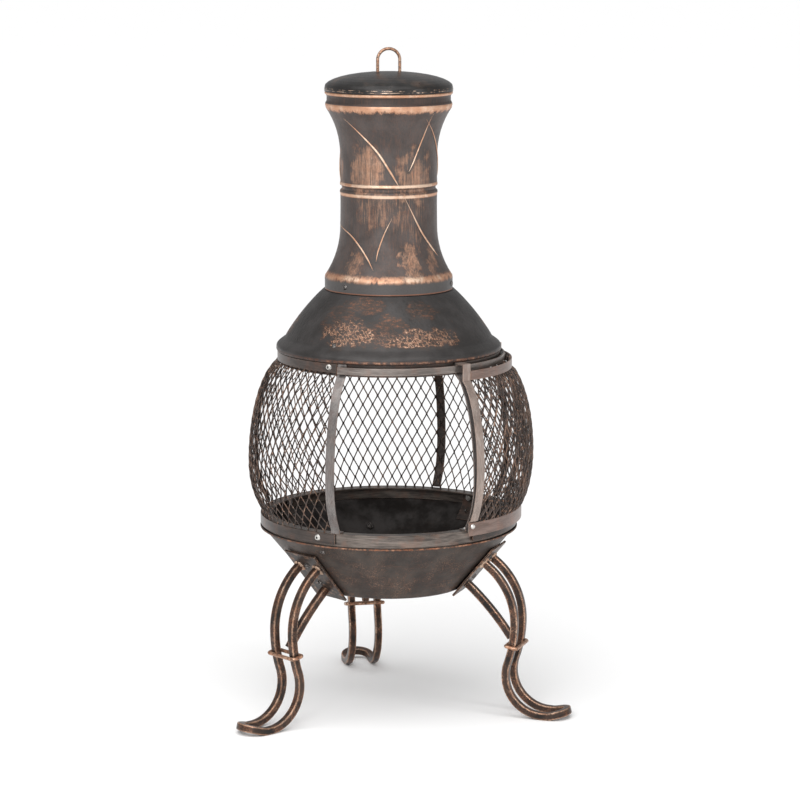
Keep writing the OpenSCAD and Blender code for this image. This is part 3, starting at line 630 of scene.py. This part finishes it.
SHEET_T = 1.5 * MM


def pressed_shell(node, body, material, step, segments, angle, proud=smooth_wall, raised=()):
    """A round CAD node as a smooth shell, its outline read at one angle; raised holds parts that are pressed
    out of the same sheet."""
    line = resampled(outline(node, angle), step)
    parts = [lathe(line, SHEET_T, segments, proud)] + list(raised)
    data = mesh_of(node + "_shell", *joined(parts))
    piece(node + "_shell", body, material, data, node)


def wall_radius(node, angle):
    """Function of height that gives a round CAD node's outer radius."""
    line = outline(node, angle)[::-1]
    return lambda z: float(np.interp(z, line[:, 1], line[:, 0]))


# Raised lines on the chimney: their course as (angle, millimetres above the groove), their width and height,
# and the turns at which they repeat around the chimney
RIDGES = [
    ([(-57, 94), (-40, 75), (-19.5, 50), (-5.5, 26), (5, 6)], 3.0, 1.1, (0, 90, 180, 270)),
    ([(40, 102), (35.5, 73), (24, 40), (17, 25)], 2.0, 0.8, (0, 90, 180)),
    ([(12, -9), (33, -52), (51, -78), (60, -89)], 2.8, 1.1, (0, 180)),
    ([(-96, -47), (-59, -59), (-41.5, -74), (-29.5, -90), (-22.5, -103)], 2.4, 1.0, (0, 180)),
    ([(-3, -35), (-12.5, -57), (-19, -79), (-20.5, -92)], 1.9, 0.8, (0, 180)),
]
RIDGE_STEP = 2.5
# How far the brush stays away from a ridge
HALO = 6.5 * MM
# An angle at which the chimney, the hood and their outlines are clear of screw holes
CLEAR_ANGLE = 15


def course(points, turn, groove, radius_at):
    """A raised line's middle on the chimney wall."""
    line = resampled(points, RIDGE_STEP, corner=180)
    return [turned(radius_at(groove + z * MM), turn + a, groove + z * MM) for a, z in line]


def ridge(centre, width, height):
    """Raised line along the chimney that starts and ends in a point."""
    half_round = [(math.cos(t), math.sin(t)) for t in np.linspace(0, math.pi, 7)]
    section = half_round + [(-0.7, -0.5), (0.7, -0.5)]
    edge = [0.3, 0.7, 1, 1, 1, 0.7, 0.3, 0, 0]
    path = []
    last = len(centre) - 1
    for i, point in enumerate(centre):
        along = (centre[min(i + 1, last)] - centre[max(i - 1, 0)]).normalized()
        out = Vector((point.x, point.y, 0)).normalized()
        size = ridge_size(i / last)
        path.append((point, along.cross(out).normalized() * width / 2 * size, out * height * size))
    return sweep(path, section, edge)


def ridge_size(share):
    """Width and height of a ridge along its length: it grows slowly and ends quickly."""
    grow, end = min(share * 1.6, 1), min((1 - share) * 5, 1)
    return max(0.12, math.sin(math.pi / 2 * grow) * math.sin(math.pi / 2 * end))


def chimney():
    lo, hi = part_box("chimney")
    foot, mouth = lo.z / MM, hi.z / MM
    z = {"mouth": mouth, "bead": mouth - 18, "groove": mouth - 127.7, "crease": foot + 17.5, "foot": foot}
    radius_at = wall_radius("chimney", CLEAR_ANGLE)
    ridges, middles = [], []
    for points, width, height, turns in RIDGES:
        for turn in turns:
            centre = course(points, turn, z["groove"] * MM, radius_at)
            ridges.append(ridge(centre, width * MM, height * MM))
            middles += centre[len(centre) // 3:]
    middles = np.array(middles)

    def halo(angle, height, r):
        """No relief of its own, but a mark down to -1 close to a ridge, where the brush didn't reach."""
        away = np.linalg.norm(middles - np.array(turned(r, angle, height)), axis=1).min()
        return 0, -max(0, 1 - away / HALO)

    finish = chimney_finish(z)
    pressed_shell("chimney", "body", finish, 1.6 * MM, 256, CLEAR_ANGLE, halo, ridges)


# Hammered texture: the distance between its dents, how proud its ridges stand, and the widths over which it
# fades out above the hood's crease and below its top
DENT_GAP = 4.6 * MM
DENT_HEIGHT = 0.45 * MM
FADE_LOW = 4 * MM
FADE_TOP = 6 * MM
# Without a seed the dents would be others in each run
noise.seed_set(3)


def hammered(crease, top):
    """Function for lathe: ridges between the dents of a hammered sheet."""
    def proud(angle, z, r):
        fade = min(max((z - crease) / FADE_LOW, 0), 1) * min(max((top - z) / FADE_TOP, 0), 1)
        if fade <= 0:
            return 0, 0
        p = turned(r, angle, z) / DENT_GAP
        nearest = noise.voronoi(p + 0.45 * noise.noise_vector(p * 0.6))[0]
        bump = fade * (1 - min((nearest[1] - nearest[0]) / 0.7, 1))
        return bump * DENT_HEIGHT, bump
    return proud


def smoke_hood():
    line = outline("smoke_hood", CLEAR_ANGLE)
    wide = line[:, 0].max()
    crease = next(z for r, z in line if r > wide - 13 * MM)
    top = next(z for r, z in line if r > 86 * MM)
    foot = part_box("smoke_hood")[0].z
    finish = hood_finish({"crease": crease / MM, "top": top / MM, "bead": foot / MM + 2.7})
    dents = hammered(crease, top)
    pressed_shell("smoke_hood", "body", finish, 1.4 * MM, 560, CLEAR_ANGLE, dents)


def rain_lid():
    finish = lid_finish(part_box("rain_lid")[0].z / MM)
    pressed_shell("rain_lid", "lid", finish, 2 * MM, 160, 45)


# ---- expanded metal ------------------------------------------------------------------------------

# Diamonds around the whole screen and from top to bottom of a panel
DIAMONDS_AROUND = 84
DIAMONDS_HIGH = 9.5
# Size of a diamond's hole, as a share of the diamond
HOLE_TALL, HOLE_WIDE = 0.86, 0.83
# How far the flat knots of the strands reach, and how far the strands lean out of the sheet
KNOT = 0.16
STRAND_LEAN = 0.9 * MM
STRAND_T = 0.9 * MM
# Depth of the strands' middle under the outside of the panel
STRAND_DEPTH = 0.7 * MM
# The strands lie flat at the panel's upper and lower edge, and lean in full this far from it
FLAT_EDGE = 12 * MM


def diamond_cell(u, v, half_u, half_v):
    """One diamond of expanded metal as (u, v, lean) points: 12 on its outer edge, 12 around its hole."""
    tips = [(0, 1), (1, 0), (0, -1), (-1, 0)]
    outer = []
    for i, (a, b) in enumerate(tips):
        before, after = tips[i - 1], tips[(i + 1) % 4]
        outer += [(a + (before[0] - a) * KNOT, b + (before[1] - b) * KNOT), (a, b),
                  (a + (after[0] - a) * KNOT, b + (after[1] - b) * KNOT)]
    top, side = (0.07, HOLE_TALL - 0.06), (HOLE_WIDE - 0.03, 0.11)
    hole = [(-top[0], top[1]), (0, HOLE_TALL), top,
            side, (HOLE_WIDE, 0), (side[0], -side[1]),
            (top[0], -top[1]), (0, -HOLE_TALL), (-top[0], -top[1]),
            (-side[0], -side[1]), (-HOLE_WIDE, 0), (-side[0], side[1])]
    points = [(u + a * half_u, v + b * half_v, 0) for a, b in outer]
    points += [(u + a * half_u, v + b * half_v, -a) for a, b in hole]
    faces = [(i, (i + 1) % 12, 12 + (i + 1) % 12, 12 + i) for i in range(12)]
    return points, faces


def diamond_sheet(first, last, height):
    """Flat net of diamonds from one angle to another and up to a height, trimmed at its edges. Its points
    carry their lean."""
    half_a, half_s = 360 / DIAMONDS_AROUND / 2, height / DIAMONDS_HIGH / 2
    bm = bmesh.new()
    lean = bm.verts.layers.float.new("lean")
    for i in range(int(first / half_a) - 1, int(last / half_a) + 3):
        for j in range(-1, round(2 * DIAMONDS_HIGH) + 2):
            if (i + j) % 2:
                continue
            points, faces = diamond_cell(i * half_a, j * half_s, half_a, half_s)
            verts = []
            for u, v, w in points:
                vert = bm.verts.new((u, v, 0))
                vert[lean] = w
                verts.append(vert)
            for face in faces:
                bm.faces.new([verts[k] for k in face])
    bmesh.ops.remove_doubles(bm, verts=bm.verts, dist=1e-5)
    trims = (((first, 0, 0), (-1, 0, 0)), ((last, 0, 0), (1, 0, 0)),
             ((0, 0.5 * MM, 0), (0, -1, 0)), ((0, height - 0.5 * MM, 0), (0, 1, 0)))
    for place, outwards in trims:
        geometry = bm.verts[:] + bm.edges[:] + bm.faces[:]
        bmesh.ops.bisect_plane(bm, geom=geometry, plane_co=place, plane_no=outwards, clear_outer=True,
                               dist=1e-6)
    return bm, lean


def expanded_metal(node, body):
    """A mesh panel of real diamonds in place of its CAD shell: the same outline and the same edges."""
    first, last = span(node)
    line = beside(resampled(outline(node, (first + last) / 2), 3 * MM), STRAND_DEPTH)
    along = np.concatenate([[0], np.cumsum(np.linalg.norm(np.diff(line, axis=0), axis=1))])
    slopes = np.gradient(line, axis=0)
    slopes /= np.linalg.norm(slopes, axis=1)[:, None]
    bm, lean = diamond_sheet(first, last, along[-1])
    for vert in bm.verts:
        angle, s, _ = vert.co
        r, z = np.interp(s, along, line[:, 0]), np.interp(s, along, line[:, 1])
        way_r, way_z = np.interp(s, along, slopes[:, 0]), np.interp(s, along, slopes[:, 1])
        rise = vert[lean] * STRAND_LEAN * min(min(s, along[-1] - s) / FLAT_EDGE, 1)
        vert.co = turned(r - way_z * rise, angle, z + way_r * rise)
    data = bpy.data.meshes.new(node + "_diamonds")
    bm.normal_update()
    bm.to_mesh(data)
    bm.free()
    data.polygons.foreach_set("use_smooth", [False] * len(data.polygons))
    ob = piece(node + "_diamonds", body, MESH, data, node)
    solid = ob.modifiers.new("sheet", "SOLIDIFY")
    solid.thickness = STRAND_T
    solid.offset = 0
    solid.use_even_offset = False


# ---- legs ----------------------------------------------------------------------------------------

BAR_HALF = 5 * MM
BAR_CORNER = 1.7 * MM
BAR_GAP_HALF = 18.5 * MM
# Middle line of a bar in the leg's plane, as centres and radii of its arcs, (radius, z) from the axis
KNEE_TOP = (87 * MM, 128 * MM)
KNEE_TOP_R = 97 * MM
KNEE_LOW_R = 164 * MM
ANKLE_R = 52 * MM
TOE_FLAT = 5 * MM
TOE_CURL_A = 14
TOE_CURL_R = 24 * MM
# The bar's middle line ends this far below its highest corner
BAR_END_DROP = 3.5 * MM
BRACE_TOP = (113 * MM, 174 * MM)
BRACE_FOOT = (174 * MM, 105 * MM)
BRACE_SAG = 3 * MM
# How far the brace reaches past its top, into the leg plate
BRACE_LAP = 2 * MM


def bar_section(half, corner):
    """Square with rounded corners, and its relief: 1 on the corners."""
    points, edge = [], []
    inner = half - corner
    for cx, cy, start in ((1, 1, 0), (-1, 1, 90), (-1, -1, 180), (1, -1, 270)):
        first, last = math.radians(start), math.radians(start + 90)
        side = 0.35 * inner
        steps = [(first, side)] + [(a, 0) for a in np.linspace(first, last, 3)] + [(last, -side)]
        for (a, back), mark in zip(steps, (0.1, 0.7, 1, 0.7, 0.1)):
            points.append((cx * inner + corner * math.cos(a) + back * math.sin(a),
                           cy * inner + corner * math.sin(a) - back * math.cos(a)))
            edge.append(mark)
    return points, edge


def leg_path(start):
    """Middle line of one leg bar in the leg's plane, as (radius, z, normal radius, normal z) rows. start is
    the angle on the upper arc at which it begins."""
    low_c = (KNEE_TOP[0] + KNEE_TOP_R - KNEE_LOW_R, KNEE_TOP[1])
    ankle_z = ANKLE_R + BAR_HALF
    ankle_x = low_c[0] + math.sqrt((KNEE_LOW_R + ANKLE_R) ** 2 - (low_c[1] - ankle_z) ** 2)
    ankle_a = math.degrees(math.atan2(low_c[1] - ankle_z, ankle_x - low_c[0]))
    toe_x = ankle_x + TOE_FLAT
    rows = []

    def bend(cx, cz, r, a0, a1, side, count):
        for t in np.linspace(math.radians(a0), math.radians(a1), count):
            rows.append((cx + r * math.cos(t), cz + r * math.sin(t), side * math.cos(t), side * math.sin(t)))

    bend(*KNEE_TOP, KNEE_TOP_R, start, 0, 1, 18)
    bend(*low_c, KNEE_LOW_R, 0, -ankle_a, 1, 14)
    bend(ankle_x, ankle_z, ANKLE_R, 180 - ankle_a, 270, -1, 22)
    rows.append((toe_x, BAR_HALF, 0, 1))
    bend(toe_x, BAR_HALF + TOE_CURL_R, TOE_CURL_R, 271, 270 + TOE_CURL_A, -1, 5)
    return rows


def leg_frame(side):
    """Directions of a leg: outwards, through the middle of its plate, and across."""
    plate = corners(f"leg_plate_{side}").mean(0)
    angle = math.degrees(math.atan2(plate[0], -plate[1]))
    return turned(1, angle, 0), turned(1, angle + 90, 0)


def rod(side, kind, parts):
    """A leg's bar or brace, in place of its CAD node."""
    name = f"leg_{kind}_{side}"
    data = mesh_of(name + "_rod", *joined(parts))
    piece(name + "_rod", "body", LEG, data, name)


def weld(middle, ring, towards, plate):
    """Beads of weld around a bar's end, where lines from the ring around the bar's middle meet the plate."""
    parts = []
    for i, offset in enumerate(ring):
        hit = plate.ray_cast(middle + offset, towards, 30 * MM)[0]
        if hit is not None:
            uneven = 0.5 + 0.5 * math.sin(2.4 * i + 900 * middle.x)
            parts.append(round_bead(hit, (1.5 + 1.3 * uneven) * MM))
    return parts


def leg_bar(side):
    """Both bars of a leg as one rod that turns back at the toe, with its weld beads."""
    out, across = leg_frame(side)
    up = Vector((0, 0, 1))
    bar_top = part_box("leg_bar_right")[1].z - BAR_END_DROP
    rows = leg_path(math.degrees(math.asin((bar_top - KNEE_TOP[1]) / KNEE_TOP_R)))
    bars = [[(out * r + across * way * BAR_GAP_HALF + up * z, across * way, out * nr + up * nz)
             for r, z, nr, nz in rows] for way in (-1, 1)]
    tip_r, tip_z, nr, nz = rows[-1]
    forward = out * nz - up * nr
    tip = out * tip_r + up * tip_z
    toe = []
    for a in np.radians(np.linspace(-90, 90, 15)[1:-1]):
        ray = forward * math.cos(a) + across * math.sin(a)
        toe.append((tip + ray * BAR_GAP_HALF, ray, out * nr + up * nz))
    section, edge = bar_section(BAR_HALF, BAR_CORNER)
    parts = [sweep(bars[0] + toe + bars[1][::-1], section, edge)]
    plate = faces_of(f"leg_plate_{side}")
    for bar in bars:
        point, sideways, upwards = bar[2]
        ring = [(sideways * u + upwards * v) * 1.08 for u, v in section]
        parts += weld(point, ring, (bar[0][0] - point).normalized(), plate)
    rod(side, "bar", parts)


def leg_brace(side):
    """The short bar from the leg plate's foot down between the two leg bars."""
    out, across = leg_frame(side)
    up = Vector((0, 0, 1))
    top, foot = Vector(BRACE_TOP), Vector(BRACE_FOOT)
    chord = foot - top
    radius = ((chord.length / 2) ** 2 + BRACE_SAG ** 2) / (2 * BRACE_SAG)
    centre = (top + foot) / 2 + Vector((chord.y, -chord.x)).normalized() * (radius - BRACE_SAG)
    first, last = (math.atan2(*(end - centre).yx) for end in (top, foot))
    path = []
    for t in np.linspace(first + BRACE_LAP / radius, last, 9):
        ray = out * math.cos(t) + up * math.sin(t)
        path.append((out * centre.x + up * centre.y + ray * radius, across, ray))
    rod(side, "brace", [sweep(path, *bar_section(BAR_HALF, BAR_CORNER))])


# ---- CAD nodes that stay -------------------------------------------------------------------------

def smooth_by_angle():
    """Node group that shades a mesh smooth and marks its edges sharp above 30 degrees."""
    group = bpy.data.node_groups.new("smooth_by_angle", "GeometryNodeTree")
    group.interface.new_socket("Geometry", in_out="INPUT", socket_type="NodeSocketGeometry")
    group.interface.new_socket("Geometry", in_out="OUTPUT", socket_type="NodeSocketGeometry")
    nodes, links = group.nodes, group.links
    source, sink = nodes.new("NodeGroupInput"), nodes.new("NodeGroupOutput")
    angle = nodes.new("GeometryNodeInputMeshEdgeAngle")
    above = nodes.new("FunctionNodeCompare")
    above.data_type, above.operation = "FLOAT", "GREATER_THAN"
    above.inputs[1].default_value = math.radians(30)
    faces = nodes.new("GeometryNodeSetShadeSmooth")
    edges = nodes.new("GeometryNodeSetShadeSmooth")
    edges.domain = "EDGE"
    edges.inputs["Shade Smooth"].default_value = False
    links.new(source.outputs[0], faces.inputs["Geometry"])
    links.new(faces.outputs[0], edges.inputs["Geometry"])
    links.new(angle.outputs["Unsigned Angle"], above.inputs[0])
    links.new(above.outputs[0], edges.inputs["Selection"])
    links.new(edges.outputs[0], sink.inputs[0])
    return group


def keep(node, material, width):
    """A CAD node that stays: a finish, welded seams, smooth shading and edges softened over a width in
    millimetres."""
    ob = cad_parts[node]
    if ob.data.attributes.get("custom_normal"):
        ob.data.attributes.remove(ob.data.attributes["custom_normal"])
    ob.data.materials.clear()
    ob.data.materials.append(material)
    weld_seams = ob.modifiers.new("weld", "WELD")
    weld_seams.merge_threshold = 0.01 * MM
    shading = ob.modifiers.new("shading", "NODES")
    shading.node_group = SMOOTH
    if width:
        bevel = ob.modifiers.new("soft_edges", "BEVEL")
        bevel.width = width * MM
        bevel.segments = 2
        bevel.limit_method = "ANGLE"
        bevel.angle_limit = math.radians(35)
        bevel.harden_normals = True


# ---- stage ---------------------------------------------------------------------------------------

FLOOR_HALF = 40
CAMERA_AZIMUTH = -7
CAMERA_PITCH = 9.56


def area_light(name, place, target, size, power):
    """White panel that faces a target. Both are places from the axis."""
    data = bpy.data.lights.new(name, "AREA")
    data.shape = "RECTANGLE"
    data.size, data.size_y = size
    data.energy = power
    ob = bpy.data.objects.new(name, data)
    ob.location = AXIS + Vector(place)
    ob.rotation_euler = (Vector(target) - Vector(place)).to_track_quat("-Z", "Y").to_euler()
    bpy.context.scene.collection.objects.link(ob)


def stage():
    """Pale floor out to the horizon under a white world, with broad soft light from above and two panels."""
    far = FLOOR_HALF
    mesh = bpy.data.meshes.new("floor")
    mesh.from_pydata([(-far, -far, 0), (far, -far, 0), (far, far, 0), (-far, far, 0)], [], [(0, 1, 2, 3)])
    mesh.materials.append(floor_finish())
    floor = bpy.data.objects.new("floor", mesh)
    bpy.context.scene.collection.objects.link(floor)

    world = bpy.data.worlds.new("studio")
    bpy.context.scene.world = world
    world.use_nodes = True
    background = world.node_tree.nodes["Background"]
    background.inputs["Color"].default_value = (1, 1, 1, 1)
    background.inputs["Strength"].default_value = 0.42

    sky = bpy.data.lights.new("sky_panel", "SUN")
    sky.energy = 2.65
    sky.angle = math.radians(80)
    ob = bpy.data.objects.new("sky_panel", sky)
    ob.rotation_euler = (math.radians(28), math.radians(-14), 0)
    bpy.context.scene.collection.objects.link(ob)
    middle = (0, 0, 0.5)
    area_light("front_panel", (-0.9, -2.8, 1.4), middle, (1.2, 1.6), 34)
    area_light("right_panel", (1.9, -1.6, 1.2), middle, (0.5, 1.6), 10)
    bpy.context.scene.view_settings.view_transform = "Standard"


def camera():
    """Long lens that looks slightly down from the front, a few degrees to the left of the axis."""
    data = bpy.data.cameras.new("camera")
    data.sensor_width = 36
    data.lens = 141.3
    data.shift_x = 0.0141
    ob = bpy.data.objects.new("camera", data)
    ob.location = AXIS + turned(4.16, CAMERA_AZIMUTH, 1.119)
    ob.rotation_euler = (math.radians(90 - CAMERA_PITCH), 0, math.radians(CAMERA_AZIMUTH))
    bpy.context.scene.collection.objects.link(ob)
    bpy.context.scene.camera = ob


# ---- everything ----------------------------------------------------------------------------------

LEG = leg_finish()
MESH = mesh_finish()
SMOOTH = smooth_by_angle()

rain_lid()
chimney()
smoke_hood()
for panel, rides_on in (("mesh_left", "body"), ("mesh_right", "body"), ("door_mesh", "door")):
    expanded_metal(panel, rides_on)
for side in LEGS:
    leg_bar(side)
    leg_brace(side)

zinc, screw, soot, plate = zinc_finish(), screw_finish(), soot_finish(), plate_finish()
bowl = bowl_finish(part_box("fire_bowl")[1].z / MM)
collar, handle = wire_finish("collar_copper", 0.9), wire_finish("handle_copper", 0.75)
band_dark = strap_finish("band_lacquer", (0.034, 0.028, 0.025), (0.085, 0.066, 0.058), AROUND, 0.5, 0.3)
post_grey = strap_finish("post_lacquer", (0.10, 0.09, 0.087), (0.24, 0.22, 0.21), UPRIGHT, 0.6, 0.15)
door_taupe = strap_finish("door_post_lacquer", (0.20, 0.16, 0.14), (0.40, 0.33, 0.29), UPRIGHT, 0.6, 0.2)
door_band = strap_finish("door_band_lacquer", (0.12, 0.085, 0.072), (0.25, 0.18, 0.155), AROUND, 0.6, 0.35)
rail_steel = strap_finish("rail_lacquer", (0.09, 0.077, 0.070), (0.26, 0.225, 0.205), AROUND, 0.65, 0.25)
ring_steel = strap_finish("ring_lacquer", (0.055, 0.046, 0.042), (0.22, 0.185, 0.160), AROUND, 0.65, 0.35)

# Finish of each CAD node that stays, and the width of its softened edges in millimetres
KEPT = {
    "lid_handle": (handle, 0), "lid_handle_nuts": (zinc, 0), "lid_tabs": (band_dark, 0.2),
    "chimney_screws": (screw, 0.3), "hood_brackets": (band_dark, 0.3), "hood_screws": (screw, 0.3),
    "screen_top_ring": (band_dark, 0.4), "screen_top_band": (band_dark, 0.4), "screen_top_bolts": (zinc, 0.3),
    "door_rail": (rail_steel, 0.5), "rail_standoffs": (band_dark, 0.3),
    "opening_post_left": (post_grey, 0.4), "opening_post_right": (post_grey, 0.4),
    "side_strap_left": (band_dark, 0.4), "side_strap_right": (band_dark, 0.4), "rear_strap": (band_dark, 0.4),
    "screen_bottom_ring": (ring_steel, 0.5), "screen_bottom_band": (band_dark, 0.5),
    "screen_bottom_bolts": (zinc, 0.3), "post_rivets": (zinc, 0.3), "bowl_brackets": (band_dark, 0.3),
    "bowl_screws": (screw, 0.3), "fire_bowl": (bowl, 0.5), "fire_grate": (soot, 0),
    "door_top_band": (door_band, 0.4), "door_bottom_band": (door_band, 0.4),
    "door_leading_post": (door_taupe, 0.4), "door_trailing_post": (door_taupe, 0.4),
    "door_rivets": (zinc, 0.3),
}
for side in LEGS:
    KEPT[f"leg_plate_{side}"] = (plate, 0.6)
    KEPT[f"leg_collar_{side}"] = (collar, 0)
    KEPT[f"leg_bolts_{side}"] = (screw, 0.3)
for node, (material, soft_width) in KEPT.items():
    keep(node, material, soft_width)

stage()
camera()
